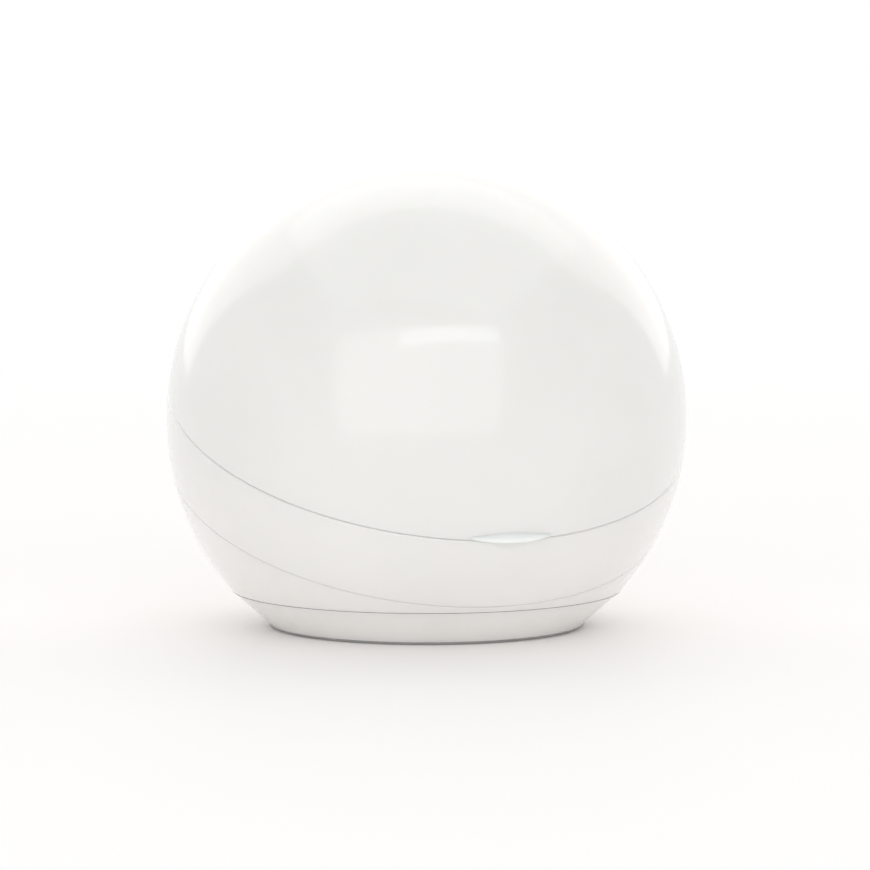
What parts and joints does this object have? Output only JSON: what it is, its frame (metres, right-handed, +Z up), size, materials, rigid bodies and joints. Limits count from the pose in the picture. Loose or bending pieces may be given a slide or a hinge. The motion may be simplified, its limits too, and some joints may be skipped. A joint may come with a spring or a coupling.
{
  "type": "pacifier sterilizer case",
  "caption": "Ball-shaped soother steriliser case, seam sloping down to the front, lid hinged at the back, lift-out tray over a lamp chamber.",
  "frame": {"origin": "centre of the round foot, on the table", "axes": "+Z up, -Y to the front with the thumb tab, +Y to the back with the hinge, +X to the user's right"},
  "size_m": [0.105, 0.105, 0.0948],
  "materials": {
    "shell_plastic": "gloss",
    "tab_plastic": "gloss",
    "liner_plastic": "mirror-metallised",
    "white_plastic": "satin",
    "chamber_metal": "polished",
    "steel": "satin",
    "lamp_glass": "clear",
    "rubber": "matt",
    "black_plastic": "satin",
    "grey_plastic": "satin",
    "ivory_plastic": "satin",
    "led_resin": "clear",
    "board": "satin",
    "copper": "satin",
    "capacitor_sleeve": "satin",
    "lead_insulation": "satin",
    "nickel": "bright",
    "cell_sleeve": "gloss"
  },
  "bodies": {
    "base": {"hinge_pin": "steel", "rim_band": "shell_plastic", "base_shell": "shell_plastic", "foot_cover": "shell_plastic", "foot_ring": "rubber", "case_screws": "steel", "deck_ring": "white_plastic", "deck_screws": "steel", "chamber_bowl": "chamber_metal", "lamp_guard": "white_plastic", "uv_lamp": "lamp_glass", "lamp_socket": "white_plastic", "lamp_clip": "white_plastic", "lamp_reflector": "chamber_metal", "lamp_leads": "lead_insulation", "switch_body": "black_plastic", "indicator_led": "led_resin", "main_board": "board", "board_screws": "steel", "control_chip": "black_plastic", "lamp_transformer": "copper", "smoothing_capacitor": "capacitor_sleeve", "drive_transistors": "black_plastic", "lead_plug": "ivory_plastic", "power_jack": "black_plastic", "jack_board": "board", "jack_leads": "lead_insulation", "battery_cells": "cell_sleeve", "spring_contacts": "nickel", "plate_contacts": "nickel"},
    "lid": {"lid_shell": "shell_plastic", "lid_liner": "liner_plastic", "thumb_tab": "tab_plastic"},
    "tray": {"soother_tray": "white_plastic"},
    "plunger": {"switch_plunger": "grey_plastic"},
    "door": {"battery_door": "shell_plastic", "door_screw": "steel"}
  },
  "joints": [
    {"name": "lid_hinge", "type": "hinge", "parent": "base", "child": "lid", "pos_m": [0, 0.04914, 0.06215], "axis": [-1, 0, 0], "range_deg": [0, 102]},
    {"name": "tray_lift", "type": "slide", "parent": "base", "child": "tray", "axis": [0, -0.3746, 0.9272], "range_m": [0, 0.01]},
    {"name": "plunger_rise", "type": "slide", "parent": "base", "child": "plunger", "axis": [0, -0.3746, 0.9272], "range_m": [0, 0.0012]},
    {"name": "door_removal", "type": "slide", "parent": "base", "child": "door", "axis": [0, 0, -1], "range_m": [0, 0.012]}
  ],
  "couplings": [
    {"joint": "plunger_rise", "follows": "lid_hinge", "m_per_rad": 0.00067}
  ]
}
